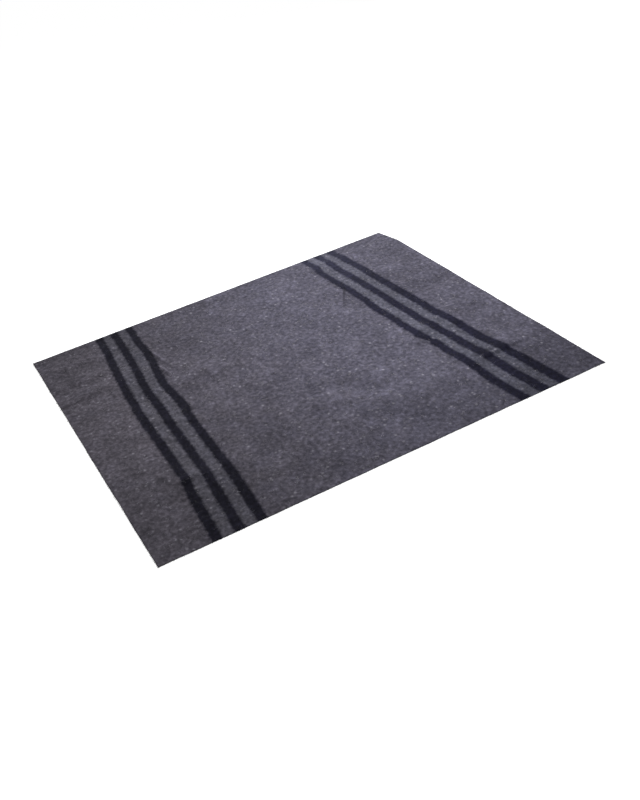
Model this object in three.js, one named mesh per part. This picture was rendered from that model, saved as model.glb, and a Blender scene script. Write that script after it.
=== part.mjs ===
// A prison blanket: one cut length of thick milled and raised recycled wool, spread out on a floor.
// It is a single sheet of cloth with plain cut edges. It lies flat except where soft folds, left by
// storage, lift it a little. Millimetres, +X along the blanket, +Y across it, +Z up, with the origin
// on the floor under the middle.
import * as THREE from "three";

// The cloth
const THICKNESS = 3;

// The four corners as cut. The near edge is at -Y, and the start of the blanket is at -X.
const NEAR_START = [-1002, -788];
const NEAR_END = [1002, -813];
const FAR_START = [-998, 796];
const FAR_END = [991, 813];

// The far end corner is drawn in along the end edge.
const CORNER_DRAW = 29;
const CORNER_REACH = 141;
const CORNER_DEPTH = 220;

// The grid of cells that the sheet is made of
const CELLS_LONG = 34;
const CELLS_ACROSS = 44;

// Where the cloth ends it lies down again: a fold keeps this share of its height at the cut edge,
// and all of it from this far inside.
const EDGE_SHARE = 0.25;
const EDGE_REACH = 130;

// A fold rises from nothing over this share of its length at each end, and is this share as wide there
// as at its highest.
const RUN_OUT = 0.42;
const END_WIDTH = 0.45;

/** Turns rows of values into objects with the named columns. */
function table(columns, ...rows) {
  return rows.map((row) => Object.fromEntries(columns.map((name, i) => [name, row[i]])));
}

// Soft folds. A crest runs from (x1, y1) to (x2, y2), bowed sideways by bow at its middle. The cloth
// falls away from it over the distance near on its -Y side and far on its +Y side.
const FOLDS = table(
  ["x1", "y1", "x2", "y2", "bow", "near", "far", "height"],
  // the long storage fold near the front, in two stretches
  [-400, -500, 1500, -415, 0, 260, 140, 8],
  [-1500, -395, -380, -430, 15, 120, 110, 6],
  // the one across the middle of the start half
  [-740, 195, 140, 175, -15, 95, 120, 6],
  // the short one through the end stripes
  [360, -200, 1150, -50, 15, 80, 100, 6],
  // two at the back
  [-1300, 600, -380, 680, 20, 95, 120, 6],
  [260, 660, 980, 705, 20, 85, 95, 6],
  // ripples that run in from the start edge and from the end edge
  [-1300, 318, -560, 395, 0, 60, 110, 5],
  [700, 265, 1300, 250, -15, 95, 80, 5],
  // low swellings in the middle field
  [-230, -315, 150, -335, 0, 90, 90, 6],
  [80, -325, 460, -300, 0, 90, 90, 6],
  [-40, 545, 500, 595, 15, 150, 140, 6],
);

const mix = (a, b, t) => a + (b - a) * t;
const smooth = (t) => THREE.MathUtils.smoothstep(t, 0, 1);

/** How far one fold lifts the cloth at (x, y). */
function foldLift({ x1, y1, x2, y2, bow, near, far, height }, x, y) {
  const length = Math.hypot(x2 - x1, y2 - y1);
  const dirX = (x2 - x1) / length;
  const dirY = (y2 - y1) / length;
  const along = ((x - x1) * dirX + (y - y1) * dirY) / length;
  if (along <= 0 || along >= 1) {
    return 0;
  }
  const across = (y - y1) * dirX - (x - x1) * dirY - bow * 4 * along * (1 - along);
  const risen = smooth(Math.min(along, 1 - along) / RUN_OUT);
  const width = (across < 0 ? near : far) * mix(END_WIDTH, 1, risen);
  const fall = Math.min(Math.abs(across) / width, 1);
  return height * risen * (0.5 + 0.5 * Math.cos(Math.PI * fall));
}

/** Where the cloth lies in plan, at the shares u of its length and v of its width. */
function plan(u, v) {
  const near = [mix(NEAR_START[0], NEAR_END[0], u), mix(NEAR_START[1], NEAR_END[1], u)];
  const far = [mix(FAR_START[0], FAR_END[0], u), mix(FAR_START[1], FAR_END[1], u)];
  const x = mix(near[0], far[0], v);
  const y = mix(near[1], far[1], v);
  const upEnd = THREE.MathUtils.clamp(1 - (FAR_END[1] - y) / CORNER_REACH, 0, 1);
  const toEnd = smooth(1 - (FAR_END[0] - x) / CORNER_DEPTH);
  return [x - CORNER_DRAW * upEnd * toEnd, y];
}

/** Height of the underside above the floor. */
function lift(x, y, fromEdge) {
  const lying = mix(EDGE_SHARE, 1, smooth(fromEdge / EDGE_REACH));
  return lying * FOLDS.reduce((sum, fold) => sum + foldLift(fold, x, y), 0);
}

/** The whole sheet as one closed solid: an underside, a face THICKNESS above it, and the cut edge. */
function sheet() {
  const columns = CELLS_LONG + 1;
  const layer = columns * (CELLS_ACROSS + 1);
  const positions = [];
  for (const rise of [0, THICKNESS]) {
    for (let row = 0; row <= CELLS_ACROSS; row++) {
      for (let column = 0; column <= CELLS_LONG; column++) {
        const u = column / CELLS_LONG;
        const v = row / CELLS_ACROSS;
        const [x, y] = plan(u, v);
        const fromEnds = Math.min(u, 1 - u) * (NEAR_END[0] - NEAR_START[0]);
        const fromSides = Math.min(v, 1 - v) * (FAR_END[1] - NEAR_END[1]);
        positions.push(x, y, lift(x, y, Math.min(fromEnds, fromSides)) + rise);
      }
    }
  }

  const under = (column, row) => row * columns + column;
  const over = (column, row) => layer + under(column, row);
  const faces = [];
  const quad = (a, b, c, d) => faces.push(a, b, c, a, c, d);
  for (let row = 0; row < CELLS_ACROSS; row++) {
    for (let column = 0; column < CELLS_LONG; column++) {
      const [c, r] = [column + 1, row + 1];
      quad(over(column, row), over(c, row), over(c, r), over(column, r));
      quad(under(column, row), under(column, r), under(c, r), under(c, row));
    }
  }
  const wall = (c1, r1, c2, r2) => quad(under(c1, r1), under(c2, r2), over(c2, r2), over(c1, r1));
  for (let column = 0; column < CELLS_LONG; column++) {
    wall(column, 0, column + 1, 0);
    wall(column + 1, CELLS_ACROSS, column, CELLS_ACROSS);
  }
  for (let row = 0; row < CELLS_ACROSS; row++) {
    wall(CELLS_LONG, row, CELLS_LONG, row + 1);
    wall(0, row + 1, 0, row);
  }

  const geometry = new THREE.BufferGeometry();
  geometry.setAttribute("position", new THREE.Float32BufferAttribute(positions, 3));
  geometry.setIndex(faces);
  geometry.computeVertexNormals();
  return geometry;
}

/** Charcoal heathered wool. */
function wool() {
  return new THREE.MeshStandardMaterial({ color: 0x5b5963, roughness: 0.95, metalness: 0 });
}

const blanket = new THREE.Mesh(sheet(), wool());
blanket.name = "blanket";

const part = new THREE.Group();
part.add(blanket);

export default part;
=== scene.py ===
import math

import bmesh
import bpy
import numpy as np
from mathutils import Matrix, Vector, noise


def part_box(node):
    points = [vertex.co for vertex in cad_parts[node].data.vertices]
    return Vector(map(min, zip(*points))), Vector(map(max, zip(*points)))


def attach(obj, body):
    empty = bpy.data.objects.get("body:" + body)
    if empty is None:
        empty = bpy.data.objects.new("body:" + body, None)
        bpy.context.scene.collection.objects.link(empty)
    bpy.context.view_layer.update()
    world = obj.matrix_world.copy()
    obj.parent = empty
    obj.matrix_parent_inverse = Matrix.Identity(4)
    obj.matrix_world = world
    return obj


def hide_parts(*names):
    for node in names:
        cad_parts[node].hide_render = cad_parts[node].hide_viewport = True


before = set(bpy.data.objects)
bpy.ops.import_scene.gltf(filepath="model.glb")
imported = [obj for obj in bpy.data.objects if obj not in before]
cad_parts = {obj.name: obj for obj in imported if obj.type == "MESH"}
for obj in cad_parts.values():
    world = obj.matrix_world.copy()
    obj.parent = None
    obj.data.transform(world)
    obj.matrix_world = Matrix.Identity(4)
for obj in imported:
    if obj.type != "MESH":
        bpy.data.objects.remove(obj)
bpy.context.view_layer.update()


# ---------------------------------------------------------------------------------------------
# The blanket. One cut length of thick cloth woven from recycled wool, then milled and raised so
# that the weave is lost under a felted, heathered face. The dark stripes are woven in across each
# end. Its edges are plain cut edges, and it lies flat but for the soft folds that storage left.

# Its box, and its four corners as cut, from the near edge (-Y) to the far edge (+Y) and from the
# start (-X) to the end (+X). No two corners are quite square, so three stand a little inside the box.
LOW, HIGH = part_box("blanket")
NEAR_START = (LOW.x, LOW.y + 0.025)
NEAR_END = (HIGH.x, LOW.y)
FAR_START = (LOW.x + 0.004, HIGH.y - 0.017)
FAR_END = (HIGH.x - 0.011, HIGH.y)

# The far end corner is drawn in along the end edge.
CORNER_DRAW = 0.029
CORNER_REACH = 0.141
CORNER_DEPTH = 0.220

THICKNESS = 0.003
CUT_SIZE = (1.6, 2.0)
CUT_WIDTH, CUT_LENGTH = CUT_SIZE

# At the cut edge a fold keeps this share of its height, and all of it from this far inside.
EDGE_SHARE = 0.25
EDGE_REACH = 0.130

# A fold rises over this share of its length at each end, and is this share as wide there.
RUN_OUT = 0.42
END_WIDTH = 0.45

LIE_COLUMNS = ("x1", "y1", "x2", "y2", "bow", "near", "far", "height")


def table(columns, *rows):
    """Turns rows of values into dictionaries with the named columns."""
    return [dict(zip(columns, row)) for row in rows]


# Soft folds: the crest's two ends, its sideways bow, how far the cloth falls away from it on its
# near side and on its far side, and its height.
FOLDS = table(
    LIE_COLUMNS,
    # the long storage fold near the front, in two stretches
    (-0.400, -0.500, 1.500, -0.415, 0.000, 0.260, 0.140, 0.008),
    (-1.500, -0.395, -0.380, -0.430, 0.015, 0.120, 0.110, 0.006),
    # the one across the middle of the start half
    (-0.740, 0.195, 0.140, 0.175, -0.015, 0.095, 0.120, 0.006),
    # the short one through the end stripes
    (0.360, -0.200, 1.150, -0.050, 0.015, 0.080, 0.100, 0.006),
    # two at the back
    (-1.300, 0.600, -0.380, 0.680, 0.020, 0.095, 0.120, 0.006),
    (0.260, 0.660, 0.980, 0.705, 0.020, 0.085, 0.095, 0.006),
    # ripples that run in from the start edge and from the end edge
    (-1.300, 0.318, -0.560, 0.395, 0.000, 0.060, 0.110, 0.005),
    (0.700, 0.265, 1.300, 0.250, -0.015, 0.095, 0.080, 0.005),
    # low swellings in the middle field
    (-0.230, -0.315, 0.150, -0.335, 0.000, 0.090, 0.090, 0.006),
    (0.080, -0.325, 0.460, -0.300, 0.000, 0.090, 0.090, 0.006),
    (-0.040, 0.545, 0.500, 0.595, 0.015, 0.150, 0.140, 0.006),
)

# Creases that stay in the thick face. Each is a low ridge that falls away quickly on one side.
CREASES = table(
    LIE_COLUMNS,
    # two that run in from the start edge: along its ripple and beyond it
    (-1.100, 0.328, -0.720, 0.372, 0.004, 0.020, 0.060, 0.0040),
    (-1.150, 0.484, -0.640, 0.488, 0.000, 0.024, 0.090, 0.0050),
    (-0.880, 0.290, -0.680, 0.290, 0.000, 0.018, 0.050, 0.0018),
    # short ones across the start stripes, and the slanting one beyond them
    (-0.820, -0.428, -0.570, -0.440, 0.000, 0.026, 0.050, 0.0036),
    (-0.860, 0.617, -0.640, 0.627, 0.000, 0.028, 0.060, 0.0028),
    (-0.770, 0.035, -0.450, -0.170, 0.010, 0.022, 0.050, 0.0030),
    # the curved one on their inner side
    (-0.405, 0.300, -0.372, 0.080, 0.036, 0.020, 0.032, 0.0040),
    # the scalloped pinch across the middle field
    (-0.175, 0.112, -0.045, 0.190, -0.010, 0.016, 0.012, 0.0034),
    (-0.075, 0.188, 0.120, 0.208, 0.012, 0.016, 0.012, 0.0026),
    (0.125, 0.142, 0.255, 0.215, -0.010, 0.016, 0.012, 0.0034),
    (0.240, 0.222, 0.430, 0.238, 0.010, 0.016, 0.012, 0.0026),
    # two near the back
    (-0.020, 0.478, 0.050, 0.553, 0.000, 0.018, 0.030, 0.0030),
    (0.070, 0.548, 0.225, 0.518, 0.000, 0.018, 0.030, 0.0028),
    # two between the end stripes
    (0.470, 0.698, 0.610, 0.706, 0.000, 0.024, 0.035, 0.0040),
    (0.520, 0.322, 0.640, 0.328, 0.000, 0.020, 0.030, 0.0024),
    # the short fold's own creases through the end stripes
    (0.400, -0.222, 0.660, -0.194, 0.004, 0.020, 0.050, 0.0032),
    (0.630, -0.192, 0.830, -0.174, 0.000, 0.022, 0.050, 0.0036),
    (0.820, -0.098, 0.950, -0.068, 0.000, 0.020, 0.030, 0.0020),
    # the sharp storage crease across the end stripes and on to the edge
    (0.510, -0.490, 0.920, -0.472, 0.004, 0.026, 0.080, 0.0052),
    (0.760, -0.484, 1.160, -0.462, 0.000, 0.032, 0.090, 0.0030),
)

# Pinches, which are as thin as a crease can be in cloth this thick. Crest shading says how much paler
# the crest is painted, as a painted highlight where it faces the light, or, below zero, how much
# darker it is painted along the crest. The painted line is narrower than the pinch: it fades as this
# power of the height.
PINCHES = table(
    LIE_COLUMNS + ("crest_shading",),
    # two beside the inner start stripe, and one between it and the next
    (-0.506, 0.560, -0.476, 0.360, 0.000, 0.020, 0.011, 0.0040, 0.18),
    (-0.525, 0.430, -0.492, 0.195, 0.004, 0.020, 0.011, 0.0040, 0.18),
    (-0.632, 0.250, -0.562, 0.155, 0.000, 0.018, 0.011, 0.0036, 0.16),
    # the slanting one beside the inner end stripe
    (0.570, 0.535, 0.350, 0.180, 0.000, 0.009, 0.020, 0.0036, -0.40),
)
CREST_SHADING_NARROWED = 2

# Cells of the mesh along and across the blanket. The underside has one cell to each three of them
# and stops this share short of the edges, and each cell at a pinch is cut this many times more.
CELLS_LONG = 306
CELLS_ACROSS = 249
UNDER_STEP = 3
UNDER_MARGIN = 0.006
PINCH_CUTS = 2

# The face is uneven at three scales: how wide the bumps are, how high, and the seed of their lie.
BUMPS = table(
    ("size", "height", "seed"),
    (0.110, 0.0013, 8.6),
    (0.048, 0.0008, 5.5),
    (0.021, 0.00035, 4.15),
)

# At the cut edge creases and bumps keep this share of their height, and all of it from this far in.
CALM_SHARE = 0.3
CALM_REACH = 0.03

# The cut edge wanders by this much over runs about this long.
EDGE_WANDER = 0.0016
EDGE_RUN = 0.090
EDGE_SEED = 7.7

# The cut edge is rounded: how far in from the outline each ring of it lies, and at what share of the
# way up, from the rim of the face to the underside.
EDGE_RINGS = table(("inset", "share"), (0.0012, 1.0), (0.0002, 0.72), (0.0, 0.35), (0.0008, 0.0))

# The two sets of three stripes. At each bend in their course: where the middle stripe of a set
# lies, how far apart its stripes are and how wide they are. They wander because the cloth was
# milled.
STRIPE_COLUMNS = ("across", "middle", "gap", "width")
START_STRIPES = table(
    STRIPE_COLUMNS,
    (0.815, -0.587, 0.077, 0.040),
    (0.630, -0.597, 0.078, 0.039),
    (0.530, -0.604, 0.084, 0.040),
    (0.420, -0.614, 0.086, 0.040),
    (0.370, -0.621, 0.082, 0.040),
    (0.210, -0.638, 0.082, 0.041),
    (0.160, -0.636, 0.083, 0.041),
    (0.110, -0.636, 0.090, 0.042),
    (0.000, -0.639, 0.091, 0.042),
    (-0.045, -0.643, 0.085, 0.041),
    (-0.410, -0.651, 0.084, 0.041),
    (-0.510, -0.659, 0.090, 0.043),
    (-0.815, -0.684, 0.090, 0.045),
)
END_STRIPES = table(
    STRIPE_COLUMNS,
    (0.815, 0.566, 0.079, 0.038),
    (0.690, 0.575, 0.080, 0.038),
    (0.630, 0.578, 0.089, 0.039),
    (0.525, 0.587, 0.089, 0.040),
    (0.430, 0.594, 0.086, 0.041),
    (0.270, 0.605, 0.087, 0.040),
    (0.160, 0.607, 0.093, 0.042),
    (0.055, 0.615, 0.091, 0.042),
    (-0.045, 0.618, 0.089, 0.042),
    (-0.195, 0.633, 0.095, 0.043),
    (-0.215, 0.640, 0.088, 0.044),
    (-0.305, 0.645, 0.086, 0.044),
    (-0.480, 0.656, 0.090, 0.046),
    (-0.620, 0.668, 0.099, 0.047),
    (-0.815, 0.689, 0.098, 0.049),
)

# Where undyed nap has been drawn over the edges of a stripe: the middle of the place, its
# half-lengths, and how far the nap reaches.
DRAWN_NAP = table(
    ("x", "y", "long", "wide", "over"),
    (0.554, -0.222, 0.024, 0.018, 0.010),
)

# The last stripe of the end set is broader than the first by this share.
LAST_BROADER = 0.12

# Each bend is eased over this much of the course to each side.
STRIPE_EASE = 0.012

# A soft patch ends this many of its half-lengths from its middle.
PATCH_END = 1.3


def mix(a, b, t):
    return a + (b - a) * t


def smooth(t):
    t = np.clip(t, 0.0, 1.0)
    return t * t * (3.0 - 2.0 * t)


def lift_of(row, x, y):
    """How far one fold or crease lifts the cloth at the points (x, y)."""
    length = math.hypot(row["x2"] - row["x1"], row["y2"] - row["y1"])
    dir_x = (row["x2"] - row["x1"]) / length
    dir_y = (row["y2"] - row["y1"]) / length
    along = ((x - row["x1"]) * dir_x + (y - row["y1"]) * dir_y) / length
    across = (y - row["y1"]) * dir_x - (x - row["x1"]) * dir_y - row["bow"] * 4 * along * (1 - along)
    risen = smooth(np.minimum(along, 1 - along) / RUN_OUT)
    width = np.where(across < 0, row["near"], row["far"]) * mix(END_WIDTH, 1, risen)
    fall = np.minimum(np.abs(across) / width, 1)
    return row["height"] * risen * (0.5 + 0.5 * np.cos(math.pi * fall))


def plan(u, v):
    """Where the cloth lies in plan, at the shares u of its length and v of its width."""
    x = mix(mix(NEAR_START[0], NEAR_END[0], u), mix(FAR_START[0], FAR_END[0], u), v)
    y = mix(mix(NEAR_START[1], NEAR_END[1], u), mix(FAR_START[1], FAR_END[1], u), v)
    up_end = np.clip(1 - (FAR_END[1] - y) / CORNER_REACH, 0, 1)
    to_end = smooth(1 - (FAR_END[0] - x) / CORNER_DEPTH)
    return x - CORNER_DRAW * up_end * to_end, y


def shares_at(x, y):
    """The shares u and v at which the cloth lies at the points (x, y), found in four corrections."""
    u, v = x / CUT_LENGTH + 0.5, y / CUT_WIDTH + 0.5
    for _ in range(4):
        found_x, found_y = plan(u, v)
        u, v = u + (x - found_x) / CUT_LENGTH, v + (y - found_y) / CUT_WIDTH
    return u, v


def edge_distance(u, v):
    """How far inside the nearest cut edge the cloth is."""
    from_ends = np.minimum(u, 1 - u) * (NEAR_END[0] - NEAR_START[0])
    from_sides = np.minimum(v, 1 - v) * (FAR_END[1] - NEAR_END[1])
    return np.minimum(from_ends, from_sides)


def underside(u, v):
    """Height of the underside above the floor."""
    x, y = plan(u, v)
    lying = mix(EDGE_SHARE, 1, smooth(edge_distance(u, v) / EDGE_REACH))
    return lying * sum(lift_of(row, x, y) for row in FOLDS)


def uneven(x, y, size, seed):
    """Soft noise from -1 to 1 at the points (x, y), in bumps about this wide."""
    flat = zip(np.ravel(x) / size, np.ravel(y) / size)
    return np.array([noise.noise(Vector((a, b, seed))) for a, b in flat]).reshape(np.shape(x))


def face(u, v):
    """Height of the raised face above the floor."""
    x, y = plan(u, v)
    creased = sum(lift_of(row, x, y) for row in CREASES + PINCHES)
    bumps = sum(row["height"] * uneven(x, y, row["size"], row["seed"]) for row in BUMPS)
    calm = mix(CALM_SHARE, 1, smooth(edge_distance(u, v) / CALM_REACH))
    return underside(u, v) + THICKNESS + calm * (creased + bumps)


def patch(row, x, y):
    """A soft oval patch: 1 about its middle, fading to 0."""
    reach = np.hypot((x - row["x"]) / row["long"], (y - row["y"]) / row["wide"])
    return smooth(PATCH_END - reach)


def stripe_reach(x, y):
    """How far each point lies outside the nearest stripe (inside it: below zero), and how far
    outside the middle lines of the outer stripes of the nearest set."""
    outside_stripe = np.full_like(x, np.inf)
    outside_set = np.full_like(x, np.inf)
    for rows, broader in ((START_STRIPES, 0.0), (END_STRIPES, LAST_BROADER)):
        across = [row["across"] for row in rows[::-1]]
        middle, gap, width = (
            sum(np.interp(y + step * STRIPE_EASE, across, [row[name] for row in rows[::-1]])
                for step in (-1, 0, 1)) / 3
            for name in STRIPE_COLUMNS[1:]
        )
        outside_set = np.minimum(outside_set, np.abs(x - middle) - gap)
        for step in (-1, 0, 1):
            broad = width * (1 + broader * (step + 1) / 2)
            outside_stripe = np.minimum(outside_stripe, np.abs(x - middle - step * gap) - broad / 2)
    for row in DRAWN_NAP:
        outside_stripe += row["over"] * patch(row, x, y)
    return outside_stripe, outside_set


def ring(columns, rows):
    """Numbers of the points round a grid's outside, anticlockwise from the near start corner."""
    near = [(i, 0) for i in range(columns)]
    end = [(columns, j) for j in range(rows)]
    far = [(columns - i, rows) for i in range(columns)]
    start = [(0, rows - j) for j in range(rows)]
    column, row = np.array(near + end + far + start).T
    return row * (columns + 1) + column


def grid_shares(columns, rows, margin=0.0):
    """Shares u and v of the points of a grid that stops this share short of each edge."""
    u, v = np.meshgrid(np.linspace(margin, 1 - margin, columns + 1),
                       np.linspace(margin, 1 - margin, rows + 1))
    return u.ravel(), v.ravel()


def grid_quads(columns, rows, first, flip):
    """Four corners of each cell of a grid whose points are numbered from first."""
    i, j = np.meshgrid(np.arange(columns), np.arange(rows))
    corner = (first + j * (columns + 1) + i).ravel()
    quads = np.stack([corner, corner + 1, corner + columns + 2, corner + columns + 1], 1)
    return quads[:, ::-1] if flip else quads


def rounded_edge(u, v, rim):
    """The rings of the rounded cut edge, from the rim of the face down to the underside."""
    outline, high = rim[:, :2], rim[:, 2]
    onward = np.roll(outline, -1, 0) - np.roll(outline, 1, 0)
    onward /= np.linalg.norm(onward, axis=1, keepdims=True)
    inward = np.stack([-onward[:, 1], onward[:, 0]], 1)
    wander = EDGE_WANDER * (1 + uneven(outline[:, 0], outline[:, 1], EDGE_RUN, EDGE_SEED))
    outline = outline + inward * wander[:, None]
    low = underside(u, v)
    return [np.column_stack([outline + inward * row["inset"], mix(low, high, row["share"])])
            for row in EDGE_RINGS]


def band(upper, lower):
    """The cells between two rings of as many points."""
    upper_on, lower_on = np.roll(upper, -1), np.roll(lower, -1)
    return np.stack([upper, lower, lower_on, upper_on], 1).tolist()


def closing_band(outer, inner):
    """The cells that join the lowest ring of the edge to the coarser grid of the underside."""
    cells = []
    for k in range(len(inner)):
        onto = (k + 1) % len(inner)
        fine = [outer[(k * UNDER_STEP + step) % len(outer)] for step in range(UNDER_STEP + 1)]
        for step in range(UNDER_STEP):
            anchor = inner[k] if step < UNDER_STEP - 1 else inner[onto]
            cells.append((fine[step], anchor, fine[step + 1]))
        cells.append((inner[k], inner[onto], fine[UNDER_STEP - 1]))
    return cells


def build_sheet():
    """The whole sheet as one closed mesh: face, rounded cut edge and underside."""
    u, v = grid_shares(CELLS_LONG, CELLS_ACROSS)
    top = np.stack([*plan(u, v), face(u, v)], 1)
    rim = ring(CELLS_LONG, CELLS_ACROSS)
    top[rim], *edge = rounded_edge(u[rim], v[rim], top[rim])

    columns, rows = CELLS_LONG // UNDER_STEP, CELLS_ACROSS // UNDER_STEP
    under_u, under_v = grid_shares(columns, rows, UNDER_MARGIN)
    under = np.stack([*plan(under_u, under_v), underside(under_u, under_v)], 1)

    parts = [top, *edge, under]
    starts = np.cumsum([0] + [len(part) for part in parts])
    rings = [rim] + [start + np.arange(len(rim)) for start in starts[1:-2]]
    faces = grid_quads(CELLS_LONG, CELLS_ACROSS, 0, False).tolist()
    for upper, lower in zip(rings, rings[1:]):
        faces += band(upper, lower)
    seen_from_above = len(faces)
    faces += closing_band(rings[-1], starts[-2] + ring(columns, rows))
    faces += grid_quads(columns, rows, starts[-2], True).tolist()

    mesh = bpy.data.meshes.new("blanket_cloth")
    mesh.from_pydata(np.concatenate(parts).tolist(), [], [[int(i) for i in f] for f in faces])
    mesh.validate()
    mesh.polygons.foreach_set("use_smooth", [True] * len(mesh.polygons))
    edge_shares = [np.stack([u[rim], v[rim]], 1)] * len(edge)
    shares = np.concatenate([np.stack([u, v], 1), *edge_shares, np.stack([under_u, under_v], 1)])
    lay_out(mesh, shares, seen_from_above)
    cut_pinches(mesh)
    return mesh


def cut_pinches(mesh):
    """Cuts the cells of the face along the pinches smaller, so that these keep their shape."""
    cloth = bmesh.new()
    cloth.from_mesh(mesh)
    known = len(cloth.verts)
    in_face = (CELLS_LONG + 1) * (CELLS_ACROSS + 1)
    x, y = np.array([vertex.co[:2] for vertex in cloth.verts]).T
    pinched = sum(lift_of(row, x, y) for row in PINCHES) > 0
    pinched[in_face:] = False
    crossed = [edge for edge in cloth.edges if any(pinched[end.index] for end in edge.verts)]
    bmesh.ops.subdivide_edges(cloth, edges=crossed, cuts=PINCH_CUTS, use_grid_fill=True)
    added = list(cloth.verts)[known:]
    x, y = np.array([vertex.co[:2] for vertex in added]).T
    for vertex, height in zip(added, face(*shares_at(x, y))):
        vertex.co.z = height
    cloth.to_mesh(mesh)
    cloth.free()


# The flat layout of the sheet. The face takes most of the square, from this height up, and the
# underside is squeezed into a strip below it.
LAYOUT_MARGIN = 0.004
FACE_FROM = 0.190


def lay_out(mesh, shares, seen_from_above):
    """Gives the mesh its layout. The cells from number seen_from_above on are the underside's."""
    corners = np.zeros(len(mesh.loops), dtype=np.int64)
    mesh.loops.foreach_get("vertex_index", corners)
    first_corner = mesh.polygons[seen_from_above].loop_start
    below = np.arange(len(corners)) >= first_corner
    along = mix(LAYOUT_MARGIN, 1 - LAYOUT_MARGIN, shares[corners, 0])
    face_across = mix(FACE_FROM, 1 - LAYOUT_MARGIN, shares[corners, 1])
    under_across = mix(FACE_FROM - 2 * LAYOUT_MARGIN, LAYOUT_MARGIN, shares[corners, 1])
    layout = np.stack([along, np.where(below, under_across, face_across)], 1)
    mesh.uv_layers.new(name="OFBake").data.foreach_set("uv", layout.ravel().astype(np.float32))


# Soft patches painted paler or darker: the middle of each, its half-lengths, and by what share it
# differs. Some are the cloth's own tone, and many are painted light and shade: the light falling off
# towards the far start corner, painted highlights where folds, ridges and swellings face the light,
# and painted shade on their other sides and along creases.
TONES_AND_PAINTED_LIGHT = table(
    ("x", "y", "long", "wide", "gain"),
    # the far edge, more so towards its start corner
    (0.000, 0.830, 1.200, 0.120, -0.07),
    (-0.800, 0.830, 0.420, 0.130, -0.20),
    (-0.620, 0.600, 0.460, 0.200, -0.09),
    # broad paler and duller stretches
    (0.140, 0.590, 0.080, 0.110, 0.11),
    (0.380, 0.550, 0.090, 0.110, 0.13),
    (0.620, 0.620, 0.160, 0.180, 0.08),
    (0.350, -0.350, 0.160, 0.120, 0.06),
    (-0.840, 0.000, 0.150, 0.260, 0.10),
    (0.820, 0.280, 0.240, 0.260, -0.14),
    (-0.280, 0.540, 0.180, 0.180, -0.13),
    (-0.400, 0.290, 0.120, 0.060, -0.11),
    (-0.380, -0.420, 0.160, 0.060, -0.06),
    (0.030, -0.050, 0.080, 0.060, -0.07),
    (-0.940, -0.060, 0.050, 0.420, 0.08),
    (-0.840, -0.430, 0.090, 0.060, 0.08),
    # small darker spots, most of them beside the stripes
    (-0.688, -0.434, 0.022, 0.032, -0.26),
    (-0.817, -0.372, 0.024, 0.030, -0.34),
    (-0.960, 0.770, 0.060, 0.040, -0.15),
    (-0.720, 0.582, 0.050, 0.034, -0.18),
    (-0.480, 0.356, 0.050, 0.050, -0.14),
    (0.440, -0.675, 0.060, 0.050, -0.15),
    (0.534, -0.632, 0.034, 0.044, -0.15),
    (0.568, 0.300, 0.034, 0.050, -0.13),
    (-0.556, 0.620, 0.024, 0.050, -0.16),
    (-0.604, -0.372, 0.030, 0.030, -0.16),
    # paler streaks, painted highlights on ridges and pinches: inside the start stripes, between the
    # start edge's two creases and near them
    (-0.390, 0.150, 0.120, 0.034, 0.10),
    (-0.970, 0.358, 0.050, 0.036, 0.14),
    (-0.850, 0.422, 0.150, 0.022, 0.13),
    (-0.650, 0.434, 0.040, 0.034, 0.22),
    (-0.598, 0.192, 0.034, 0.044, 0.18),
    # a painted highlight on the storage fold's far side, where it faces the light, and the darker
    # strip between the fold and the near edge
    (0.000, -0.400, 0.140, 0.100, 0.12),
    (-0.360, -0.540, 0.200, 0.280, -0.06),
    (1.000, -0.660, 0.260, 0.160, -0.22),
    (-0.190, -0.690, 0.300, 0.090, -0.07),
    (-0.680, -0.560, 0.320, 0.160, -0.08),
    # painted highlights on the swellings of the middle field, and painted shade in its hollows
    (-0.046, -0.300, 0.032, 0.050, 0.26),
    (-0.008, -0.278, 0.026, 0.040, 0.22),
    (0.232, -0.298, 0.032, 0.050, 0.30),
    (0.272, -0.272, 0.026, 0.040, 0.26),
    (0.095, -0.225, 0.055, 0.050, -0.15),
    (-0.370, -0.360, 0.120, 0.090, -0.10),
    (-0.134, 0.022, 0.030, 0.022, 0.38),
    (0.160, 0.048, 0.030, 0.022, 0.38),
    (-0.060, 0.008, 0.042, 0.035, -0.13),
    (0.232, 0.030, 0.042, 0.035, -0.13),
    (-0.445, -0.040, 0.018, 0.018, 0.34),
    (-0.120, -0.490, 0.040, 0.020, 0.28),
    (0.440, -0.480, 0.046, 0.030, 0.26),
    (0.365, -0.405, 0.060, 0.050, -0.18),
    (-0.030, -0.700, 0.030, 0.030, -0.18),
    # painted highlights where the creases from the start edge cross its stripes
    (-0.655, 0.440, 0.018, 0.030, 0.18),
    (-0.755, 0.440, 0.030, 0.022, 0.20),
    # a darker strip beside the inner end stripe, and spots among the end stripes
    (0.482, 0.420, 0.024, 0.230, -0.19),
    (0.535, 0.742, 0.018, 0.026, 0.36),
    (0.722, 0.655, 0.022, 0.022, 0.34),
    # painted shade along the sharp storage crease across the end stripes
    (0.660, -0.455, 0.090, 0.014, -0.20),
    (0.571, -0.545, 0.020, 0.045, -0.20),
    (0.800, 0.620, 0.100, 0.050, -0.07),
    (0.885, 0.200, 0.040, 0.060, -0.10),
)


def tone_and_painted_light_at(x, y):
    """How pale the cloth is painted at the points (x, y), beside its usual 1, painted light and shade
    included.
    """
    tone_and_painted_light = np.ones_like(x)
    for row in TONES_AND_PAINTED_LIGHT:
        tone_and_painted_light += row["gain"] * patch(row, x, y)
    for row in PINCHES:
        # Each pinch's crest is painted paler as a painted highlight, or darker where its crest shading
        # is below zero.
        tone_and_painted_light += row["crest_shading"] * (lift_of(row, x, y) / row["height"]) ** CREST_SHADING_NARROWED
    return tone_and_painted_light


def give_attribute(mesh, name, values):
    layer = mesh.attributes.new(name, "FLOAT", "POINT")
    layer.data.foreach_set("value", np.ascontiguousarray(values, dtype=np.float32))


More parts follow.
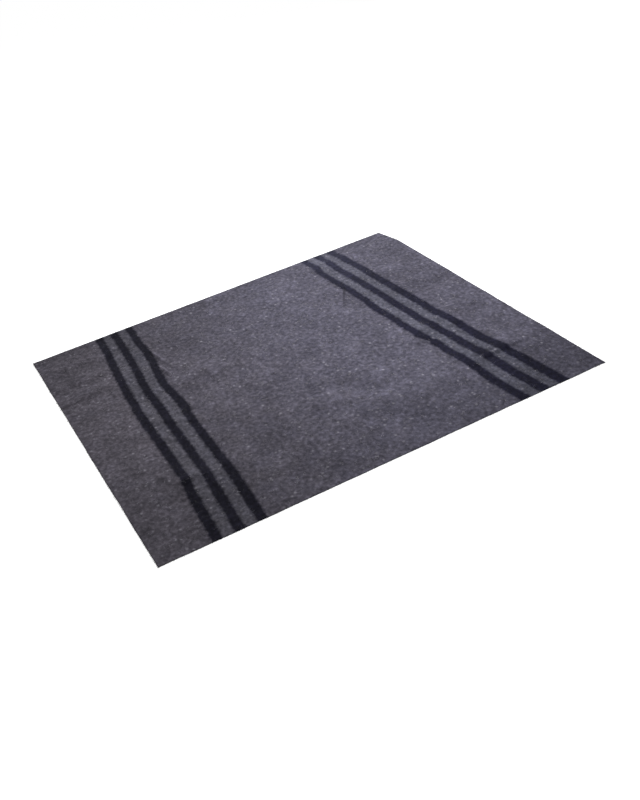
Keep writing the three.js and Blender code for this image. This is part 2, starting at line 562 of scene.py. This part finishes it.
class Shader:
    """A material's node tree, built one node at a time."""

    def __init__(self, name):
        self.material = bpy.data.materials.new(name)
        self.material.use_nodes = True
        self.tree = self.material.node_tree
        self.shader = self.tree.nodes["Principled BSDF"]

    def feed(self, socket, value):
        if isinstance(value, bpy.types.NodeSocket):
            self.tree.links.new(value, socket)
        else:
            socket.default_value = value

    def finish(self, **values):
        """Sets the finish's own sockets, whose names have _ for each space."""
        for name, value in values.items():
            self.feed(self.shader.inputs[name.replace("_", " ")], value)

    def node(self, kind, output=0, settings=None, **inputs):
        """Adds a node. An input is named as on the node, or by _ and its number."""
        made = self.tree.nodes.new("ShaderNode" + kind)
        for name, value in (settings or {}).items():
            setattr(made, name, value)
        for name, value in inputs.items():
            key = int(name[1:]) if name[1:].isdigit() else name.replace("_", " ")
            self.feed(made.inputs[key], value)
        return made.outputs[output]

    def place(self):
        return self.node("TexCoord", output=3)

    def attribute(self, name):
        return self.node("Attribute", output=2, settings={"attribute_name": name})

    def math(self, operation, a, b=0.0, c=0.0):
        return self.node("Math", settings={"operation": operation}, _0=a, _1=b, _2=c)

    def grain(self, place, scale, detail=2.0, roughness=0.5, distortion=0.0):
        return self.node("TexNoise", Vector=place, Scale=scale, Detail=detail,
                         Roughness=roughness, Distortion=distortion)

    def swing(self, place, **kind):
        """A grain about zero instead of about a half."""
        return self.math("SUBTRACT", self.grain(place, **kind), 0.5)

    def span(self, value, low, high, to_low=0.0, to_high=1.0):
        """Maps low..high to to_low..to_high, and stops at both."""
        return self.node("MapRange", _0=value, _1=low, _2=high, _3=to_low, _4=to_high)

    def blend(self, share, a, b, kind="MIX"):
        return self.node("Mix", output=2, settings={"data_type": "RGBA", "blend_type": kind},
                         _0=share, _6=a, _7=b)

    def stretched(self, place, across):
        """The place drawn together across the blanket, which draws a grain out along it."""
        return self.node("VectorMath", settings={"operation": "MULTIPLY"}, _0=place, _1=(1, across, 1))


# The blend of fibres: fine wisps, the tufts that raising leaves, and cloudy drifts. Each has its
# grain, and the strength with which it makes the cloth darker or paler.
WISPS = {"scale": 132.0, "roughness": 0.6}
TUFTS = {"scale": 60.0, "detail": 1.0, "distortion": 0.3}
DRIFTS = {"scale": 6.0, "detail": 3.0, "roughness": 0.68}
WISP_STRENGTH = 0.70
TUFT_STRENGTH = 1.7
DRIFT_STRENGTH = 1.25

# Pale noils in the blend: how many cells to a metre may hold one, the share of cells that do, what
# part of these show it fully, where a noil's core and its rim end, and how much of its grey shows.
NOIL_CELLS = 58.0
NOIL_SHARE = 0.20
NOIL_SURE = 0.3
NOIL_CORE = 0.05
NOIL_RIM = 0.45
NOIL_STRENGTH = 0.8
NOIL_GREY = (0.290, 0.279, 0.322, 1)

# The cloth turns from cool to warm grey between these places along it, and unevenly.
COOL_GREY = (0.1072, 0.1022, 0.1384, 1)
WARM_GREY = (0.1106, 0.1012, 0.1226, 1)
COOL_TO = 0.20
WARM_FROM = -0.85
MOTTLE = {"scale": 11.0, "roughness": 0.6}

# The two ends were dyed apart, and one gives way to the other this near the middle.
HALFWAY = 0.1
START_DYE = (0.0120, 0.0114, 0.0200, 1)
END_DYE = (0.0138, 0.0134, 0.0285, 1)
DYE_STRENGTH = 0.98

# The end set is painted paler and bluer towards its far side, between these places across: a painted
# sheen.
PAINTED_SHEEN_DYE = (0.0265, 0.0268, 0.0480, 1)
PAINTED_SHEEN_FROM = 0.25
PAINTED_SHEEN_TO = 0.85

# Between the stripes of a set the dye has bled: how it tints the cloth and how much it darkens it.
# It gives out from this far inside to this far outside the middle lines of the outer stripes.
START_BLEED = (0.971, 1.01, 1.008, 1)
END_BLEED = (0.959, 1.00, 0.980, 1)
BETWEEN_STRIPES = 0.985
BLEED_INSIDE = 0.01
BLEED_OUTSIDE = 0.02

# A stripe's edge is ragged, because the nap of each side lies over the other: the grain of that,
# how far it reaches, and over what half-width the dye gives out.
RAGGED = {"scale": 44.0, "detail": 3.0, "roughness": 0.65}
RAGGED_REACH = 0.021
STRIPE_SOFT = 0.0062

# The felted face is matte, and a little less so where the wisps are dark. It has a pile of tufts
# and fine hairs, which are drawn out along the blanket.
WISP_SWING = 0.2
FACE_ROUGHNESS = (0.88, 1.0)
FACE_HAIRS = {"scale": 230.0, "detail": 3.0, "roughness": 0.65, "distortion": 1.2}
HAIRS_DRAWN = 4.0
TUFT_PILE = 1.4
HAIR_PILE = 0.5
PILE_STRENGTH = 0.6
PILE_DEPTH = 0.0012


def wool_material():
    """Recycled wool, blended from charcoal, grey and violet fibres, with dyed stripes."""
    s = Shader("heathered_wool")
    place = s.place()
    outside_stripe, outside_set = s.attribute("outside_stripe"), s.attribute("outside_set")
    along, across = (s.node("SeparateXYZ", output=axis, _0=place) for axis in (0, 1))

    wisps, tufts, drifts = s.swing(place, **WISPS), s.swing(place, **TUFTS), s.swing(place, **DRIFTS)
    heather = s.math("MULTIPLY", wisps, WISP_STRENGTH)
    heather = s.math("MULTIPLY_ADD", tufts, TUFT_STRENGTH, heather)
    heather = s.math("MULTIPLY_ADD", drifts, DRIFT_STRENGTH, heather)
    # The tone attribute holds painted light and shade as well as the cloth's own tone.
    shade = s.math("MULTIPLY", s.attribute("tone_and_painted_light"), s.math("EXPONENT", heather))

    cells = s.tree.nodes.new("ShaderNodeTexVoronoi")
    s.feed(cells.inputs["Vector"], place)
    s.feed(cells.inputs["Scale"], NOIL_CELLS)
    chance = s.node("SeparateColor", _0=cells.outputs["Color"])
    chosen = s.span(chance, NOIL_SHARE, NOIL_SHARE * NOIL_SURE)
    noil = s.math("MULTIPLY", chosen, s.span(cells.outputs["Distance"], NOIL_CORE, NOIL_RIM, 1.0, 0.0))

    warmth = s.math("ADD", s.swing(place, **MOTTLE), s.span(along, COOL_TO, WARM_FROM))
    cloth = s.blend(s.math("MINIMUM", s.math("MAXIMUM", warmth, 0.0), 1.0), COOL_GREY, WARM_GREY)
    at_end = s.span(along, -HALFWAY, HALFWAY)
    bled = s.blend(1.0, cloth, s.blend(at_end, START_BLEED, END_BLEED), "MULTIPLY")
    cloth = s.blend(s.span(outside_set, BLEED_OUTSIDE, -BLEED_INSIDE), cloth, bled)
    cloth = s.blend(s.math("MULTIPLY", noil, NOIL_STRENGTH), cloth, NOIL_GREY)

    # The end stripes' painted sheen grows towards the far side.
    painted_sheen = s.math("MULTIPLY", at_end, s.span(across, PAINTED_SHEEN_FROM, PAINTED_SHEEN_TO))
    dyed = s.blend(painted_sheen, s.blend(at_end, START_DYE, END_DYE), PAINTED_SHEEN_DYE)
    ragged = s.math("MULTIPLY_ADD", s.swing(place, **RAGGED), RAGGED_REACH, outside_stripe)
    dye = s.span(ragged, -STRIPE_SOFT, STRIPE_SOFT, DYE_STRENGTH, 0.0)
    between = s.span(outside_set, -BLEED_INSIDE, BLEED_INSIDE, BETWEEN_STRIPES, 1.0)
    shade = s.math("MULTIPLY", shade, between)
    shade = s.node("CombineXYZ", _0=shade, _1=shade, _2=shade)
    colour = s.blend(1.0, s.blend(dye, cloth, dyed), shade, "MULTIPLY")

    hairs = s.grain(s.stretched(place, HAIRS_DRAWN), **FACE_HAIRS)
    pile = s.math("MULTIPLY_ADD", tufts, TUFT_PILE, s.math("MULTIPLY", hairs, HAIR_PILE))
    s.finish(Base_Color=colour,
             Roughness=s.span(wisps, -WISP_SWING, WISP_SWING, *FACE_ROUGHNESS),
             Specular_IOR_Level=0.04,
             Sheen_Weight=0.12,
             Sheen_Roughness=0.35,
             Sheen_Tint=(0.80, 0.80, 1.0, 1),
             Normal=s.node("Bump", Strength=PILE_STRENGTH, Distance=PILE_DEPTH, Height=pile))
    return s.material


cloth_mesh = build_sheet()
points = np.zeros(len(cloth_mesh.vertices) * 3)
cloth_mesh.vertices.foreach_get("co", points)
points = points.reshape(-1, 3)
outside_stripe, outside_set = stripe_reach(points[:, 0], points[:, 1])
give_attribute(cloth_mesh, "outside_stripe", outside_stripe)
give_attribute(cloth_mesh, "outside_set", outside_set)
# The cloth's own tone and its painted light and shade go in as one attribute.
give_attribute(cloth_mesh, "tone_and_painted_light", tone_and_painted_light_at(points[:, 0], points[:, 1]))
blanket = bpy.data.objects.new("blanket_cloth", cloth_mesh)
bpy.context.scene.collection.objects.link(blanket)
cloth_mesh.materials.append(wool_material())
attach(blanket, "root")
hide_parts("blanket")


# ---------------------------------------------------------------------------------------------
# The nap. Single wool hairs that the raising pulled out of the face and that lie over it, most of
# them much as the cloth below them and some paler. They are still rooted in the cloth.

HAIR_COUNT = 9000
HAIR_LENGTH = (0.008, 0.026)
HAIR_WIDTH = (0.0004, 0.0009)
HAIR_CURL = 1.5
HAIR_TILT = 0.3
HAIR_RISE = (0.0001, 0.0007)
HAIR_STEPS = 4
HAIR_DARK = (0.030, 0.028, 0.038, 1)
HAIR_PALE = (0.310, 0.297, 0.345, 1)

# Most hairs are dark and few are pale, and most of those in a stripe are dyed with it.
HAIR_SHADES = (1.2, 3.2)
DYED_SHARE = 0.9

# A fibre lies at least this high on the face, is this share as wide at its ends as in the middle,
# and starts at least this share of the blanket inside its edges.
LIFTED = 0.0001
FIBRE_END = 0.15
FIBRE_MARGIN = 0.012

# A fibre's colour is streaked along it, by this share of the way from dark to pale. Its scales make
# it a little rough.
STREAKS = {"scale": 700.0, "roughness": 0.6}
STREAK_STRENGTH = 0.25
STREAK_SPAN = (0.3, 0.7)
FIBRE_ROUGHNESS = (0.6, 0.85)
SCALES = {"scale": 1500.0, "detail": 1.0}
SCALES_STRENGTH = 0.2
SCALES_DEPTH = 0.0001

# The shortest a step of a fibre may count as in plan, so that one which stands on end has a side.
LEAST_STEP = 1e-9

SEED = 41
draw = np.random.default_rng(SEED)


def ribbons(name, x, y, z, widths, tilt, shade):
    """Joins fibres into one mesh. Each row of x, y and z is one fibre's points, and its ribbon is
    widest in the middle."""
    count, points = x.shape
    along_x, along_y = np.gradient(x, axis=1), np.gradient(y, axis=1)
    length = np.hypot(along_x, along_y) + LEAST_STEP
    t = np.linspace(0, 1, points)
    half = 0.5 * widths[:, None] * mix(FIBRE_END, 1, np.sin(math.pi * t))
    side = np.stack([-along_y / length, along_x / length, np.broadcast_to(tilt[:, None], x.shape)], 2)
    middle = np.stack([x, y, z], 2)
    left, right = middle - side * half[..., None], middle + side * half[..., None]
    places = np.stack([left, right], 2).reshape(-1, 3)
    first = 2 * (np.arange(count)[:, None] * points + np.arange(points - 1)).ravel()
    quads = np.stack([first, first + 1, first + 3, first + 2], 1)
    mesh = bpy.data.meshes.new(name)
    mesh.from_pydata(places.tolist(), [], quads.tolist())
    give_attribute(mesh, "shade", np.repeat(shade, 2 * points))
    mesh.polygons.foreach_set("use_smooth", [True] * len(mesh.polygons))
    return mesh


def lying(u, v, heading, lengths, curl, rise, steps):
    """Points of fibres that lie on the face from (u, v), turning by curl on their way."""
    t = np.linspace(0, 1, steps + 1)
    turned = heading[:, None] + curl[:, None] * (t[None, :] - 0.5)
    step = lengths[:, None] / steps
    start_x, start_y = plan(u, v)
    x = start_x[:, None] + np.cumsum(np.cos(turned) * step, 1)
    y = start_y[:, None] + np.cumsum(np.sin(turned) * step, 1)
    over_u, over_v = shares_at(x, y)
    height = face(np.clip(over_u, 0, 1), np.clip(over_v, 0, 1))
    return x, y, height + rise[:, None] * (4 * t * (1 - t))[None, :] + LIFTED


def fibre_material(name, dark, pale):
    """Wool fibre from dark to pale, a little glossier than the felted face."""
    s = Shader(name)
    place = s.place()
    shade = s.attribute("shade")
    streak = s.grain(place, **STREAKS)
    shade = s.math("MULTIPLY_ADD", s.math("SUBTRACT", streak, 0.5), STREAK_STRENGTH, shade)
    scales = s.grain(place, **SCALES)
    s.finish(Base_Color=s.blend(s.span(shade, 0.0, 1.0), dark, pale),
             Roughness=s.span(streak, *STREAK_SPAN, *FIBRE_ROUGHNESS),
             Specular_IOR_Level=0.15,
             Sheen_Weight=0.10,
             Normal=s.node("Bump", Strength=SCALES_STRENGTH, Distance=SCALES_DEPTH, Height=scales))
    return s.material


def lay_on(mesh, material):
    """Puts a mesh of fibres on the blanket, as its own piece."""
    piece = bpy.data.objects.new(mesh.name, mesh)
    bpy.context.scene.collection.objects.link(piece)
    mesh.materials.append(material)
    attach(piece, "root")
    return piece


def between(limits, count):
    return draw.uniform(limits[0], limits[1], count)


def spread(count):
    """Shares u and v of points strewn over the blanket."""
    inside = (FIBRE_MARGIN, 1 - FIBRE_MARGIN)
    return between(inside, count), between(inside, count)


u, v = spread(HAIR_COUNT)
x, y, z = lying(u, v, between((0, 2 * math.pi), HAIR_COUNT), between(HAIR_LENGTH, HAIR_COUNT),
                draw.normal(0, HAIR_CURL, HAIR_COUNT), between(HAIR_RISE, HAIR_COUNT), HAIR_STEPS)
shade = draw.beta(*HAIR_SHADES, HAIR_COUNT)
in_stripe = stripe_reach(*plan(u, v))[0] < 0
shade = np.where(in_stripe & (draw.uniform(0, 1, HAIR_COUNT) < DYED_SHARE), 0.0, shade)
hairs = lay_on(
    ribbons("loose_hairs", x, y, z,
            between(HAIR_WIDTH, HAIR_COUNT), draw.normal(0, HAIR_TILT, HAIR_COUNT), shade),
    fibre_material("loose_hair", HAIR_DARK, HAIR_PALE))


# ---------------------------------------------------------------------------------------------
# Noils. Small tangles of short pale fibre from the recycled blend, a few millimetres across, that
# the milling worked into the face.

NOIL_COUNT = 1500
NOIL_FIBRES = 7
NOIL_STEPS = 2
NOIL_SPREAD = 0.0024
NOIL_LENGTH = (0.004, 0.010)
NOIL_WIDTH = (0.0007, 0.0015)
NOIL_RISE = (0.0004, 0.0011)
NOIL_TURN = 0.6
NOIL_CURL = 1.6
NOIL_TILT = 0.5
NOIL_DARK = (0.135, 0.128, 0.155, 1)
NOIL_PALE = (0.380, 0.364, 0.422, 1)
NOIL_SHADES = (1.3, 1.8)

# A noil shows only where it lies this far clear of a stripe.
NOIL_CLEAR = 0.002

u, v = spread(NOIL_COUNT)
keep = stripe_reach(*plan(u, v))[0] > NOIL_CLEAR
u, v = u[keep], v[keep]
count = NOIL_FIBRES * len(u)
shade = np.repeat(draw.beta(*NOIL_SHADES, len(u)), NOIL_FIBRES)
heading = np.repeat(between((0, math.pi), len(u)), NOIL_FIBRES) + draw.normal(0, NOIL_TURN, count)
u = np.repeat(u, NOIL_FIBRES) + draw.normal(0, NOIL_SPREAD / CUT_LENGTH, count)
v = np.repeat(v, NOIL_FIBRES) + draw.normal(0, NOIL_SPREAD / CUT_WIDTH, count)
x, y, z = lying(u, v, heading, between(NOIL_LENGTH, count), draw.normal(0, NOIL_CURL, count),
                between(NOIL_RISE, count), NOIL_STEPS)
noils = lay_on(
    ribbons("noils", x, y, z, between(NOIL_WIDTH, count), draw.normal(0, NOIL_TILT, count), shade),
    fibre_material("noil", NOIL_DARK, NOIL_PALE))


# ---------------------------------------------------------------------------------------------
# The edge fuzz. Fibres of the cut edge that stand out from it all round, because the milled cloth
# was cut and never hemmed or bound.

FUZZ_COUNT = 6500
FUZZ_LENGTH = (0.0025, 0.0075)
FUZZ_WIDTH = (0.00025, 0.00055)
FUZZ_STEPS = 3
FUZZ_TURN = 0.65
FUZZ_CURL = 1.2
FUZZ_TILT = 0.8
FUZZ_DARK = (0.035, 0.033, 0.042, 1)
FUZZ_PALE = (0.220, 0.210, 0.245, 1)
FUZZ_SHADES = (1.2, 2.4)

# A fibre is rooted this far in from the edge, this high in the thickness of the cloth. Its tip
# stands or hangs by about the droop, and its middle line stays at least the last value above z = 0.
ROOT_INSIDE = 0.0035
ROOT_HEIGHT = (0.0004, 0.0029)
FUZZ_DROOP = 0.0010
FUZZ_LOWEST = 0.0002

# The four cut edges: the shares at which each begins and how they run on, and which way is out.
EDGES = (
    (0, 0, 1, 0, -math.pi / 2),
    (1, 0, 0, 1, 0.0),
    (1, 1, -1, 0, math.pi / 2),
    (0, 1, 0, -1, math.pi),
)

round_the_edge = between((0, len(EDGES)), FUZZ_COUNT)
edge_number = np.floor(round_the_edge)
run = round_the_edge - edge_number
first_u, first_v, run_u, run_v, outward = np.array(EDGES)[edge_number.astype(int)].T
u, v = first_u + run_u * run, first_v + run_v * run
heading = outward + draw.normal(0, FUZZ_TURN, FUZZ_COUNT)
lengths = between(FUZZ_LENGTH, FUZZ_COUNT)
curl = draw.normal(0, FUZZ_CURL, FUZZ_COUNT)
t = np.linspace(0, 1, FUZZ_STEPS + 1)
turned = heading[:, None] + curl[:, None] * t[None, :]
x, y = plan(u, v)
step = lengths[:, None] / FUZZ_STEPS
x = (x - ROOT_INSIDE * np.cos(outward))[:, None] + np.cumsum(np.cos(turned) * step, 1)
y = (y - ROOT_INSIDE * np.sin(outward))[:, None] + np.cumsum(np.sin(turned) * step, 1)
root = underside(u, v) + between(ROOT_HEIGHT, FUZZ_COUNT)
z = root[:, None] + draw.normal(0, FUZZ_DROOP, FUZZ_COUNT)[:, None] * t[None, :]
z = np.maximum(z, FUZZ_LOWEST)
shade = draw.beta(*FUZZ_SHADES, FUZZ_COUNT)
shade = np.where(stripe_reach(*plan(u, v))[0] < 0, 0.0, shade)
fuzz = lay_on(
    ribbons("edge_fuzz", x, y, z,
            between(FUZZ_WIDTH, FUZZ_COUNT), draw.normal(0, FUZZ_TILT, FUZZ_COUNT), shade),
    fibre_material("edge_fibre", FUZZ_DARK, FUZZ_PALE))


# ---------------------------------------------------------------------------------------------
# The floor that the blanket is spread on. It is plain and pale, and lies just clear of the cloth.

FLOOR_SIZE = 40.0
FLOOR_DEPTH = 0.0005
FLOOR_GREY = (0.82, 0.82, 0.82, 1)
WHITE = (1, 1, 1, 1)

# To the eye it glows nearly white, and keeps the blanket's shadow.
FLOOR_GLOW = 0.93

floor_mesh = bpy.data.meshes.new("floor")
half = FLOOR_SIZE / 2
floor_corners = [(-half, -half, 0), (half, -half, 0), (half, half, 0), (-half, half, 0)]
floor_mesh.from_pydata(floor_corners, [], [(0, 1, 2, 3)])
floor = bpy.data.objects.new("floor", floor_mesh)
floor.location.z = -FLOOR_DEPTH
bpy.context.scene.collection.objects.link(floor)

paint = Shader("pale_floor")
path = paint.tree.nodes.new("ShaderNodeLightPath")
seen = paint.math("MAXIMUM", path.outputs["Is Camera Ray"], path.outputs["Is Glossy Ray"])
seen = paint.math("MAXIMUM", seen, path.outputs["Is Transmission Ray"])
paint.finish(Base_Color=FLOOR_GREY, Roughness=0.9, Specular_IOR_Level=0.0, Emission_Color=WHITE,
             Emission_Strength=paint.math("MULTIPLY", seen, FLOOR_GLOW))
floor_mesh.materials.append(paint.material)


# ---------------------------------------------------------------------------------------------
# The light. A low window stands beyond the far end corner and rakes across the cloth, a lamp hangs
# over its end, and a dim white room fills the rest.

LAMPS = table(
    ("name", "place", "aim", "size", "power"),
    ("window", (2.6, 4.5, 2.2), (0.2, 0.2, 0.0), 1.6, 262.0),
    ("hanging_lamp", (0.95, -0.15, 1.7), (-2.0, 1.6, 0.0), 0.7, 34.5),
)
ROOM_LIGHT = 0.08

for row in LAMPS:
    lamp_data = bpy.data.lights.new(row["name"], "AREA")
    lamp_data.shape = "SQUARE"
    lamp_data.size = row["size"]
    lamp_data.energy = row["power"]
    lamp = bpy.data.objects.new(row["name"], lamp_data)
    lamp.location = row["place"]
    facing = Vector(row["aim"]) - Vector(row["place"])
    lamp.rotation_euler = facing.to_track_quat("-Z", "Y").to_euler()
    lamp.visible_camera = False
    bpy.context.scene.collection.objects.link(lamp)

world = bpy.data.worlds.new("room")
world.use_nodes = True
bpy.context.scene.world = world
room = world.node_tree.nodes["Background"]
room.inputs["Color"].default_value = WHITE

# The room is bright to the eye and dim to the cloth.
room_path = world.node_tree.nodes.new("ShaderNodeLightPath")
room_mix = world.node_tree.nodes.new("ShaderNodeMapRange")
world.node_tree.links.new(room_path.outputs["Is Camera Ray"], room_mix.inputs["Value"])
room_mix.inputs["To Min"].default_value = ROOM_LIGHT
room_mix.inputs["To Max"].default_value = 1.0
world.node_tree.links.new(room_mix.outputs["Result"], room.inputs["Strength"])


# ---------------------------------------------------------------------------------------------
# The camera, held a little tilted, looking down across the blanket from beyond its near start
# corner.

CAMERA_PLACE = Vector((-1.430, -3.053, 2.256))
HEADING = math.radians(66.69)
LOOK_DOWN = math.radians(35.93)
CAMERA_ROLL = math.radians(8.87)
LENS = 41.275
SENSOR = 36.0
SIDE_SHIFT = 0.05

camera_data = bpy.data.cameras.new("camera")
camera_data.lens = LENS
camera_data.sensor_width = SENSOR
camera_data.shift_x = SIDE_SHIFT
camera = bpy.data.objects.new("camera", camera_data)
aim = Vector((math.cos(LOOK_DOWN) * math.cos(HEADING), math.cos(LOOK_DOWN) * math.sin(HEADING),
              -math.sin(LOOK_DOWN)))
level = aim.to_track_quat("-Z", "Y").to_matrix()
rolled = level @ Matrix.Rotation(-CAMERA_ROLL, 3, "Z")
camera.matrix_world = Matrix.Translation(CAMERA_PLACE) @ rolled.to_4x4()
bpy.context.scene.collection.objects.link(camera)
bpy.context.scene.camera = camera

bpy.context.scene.view_settings.view_transform = "Standard"
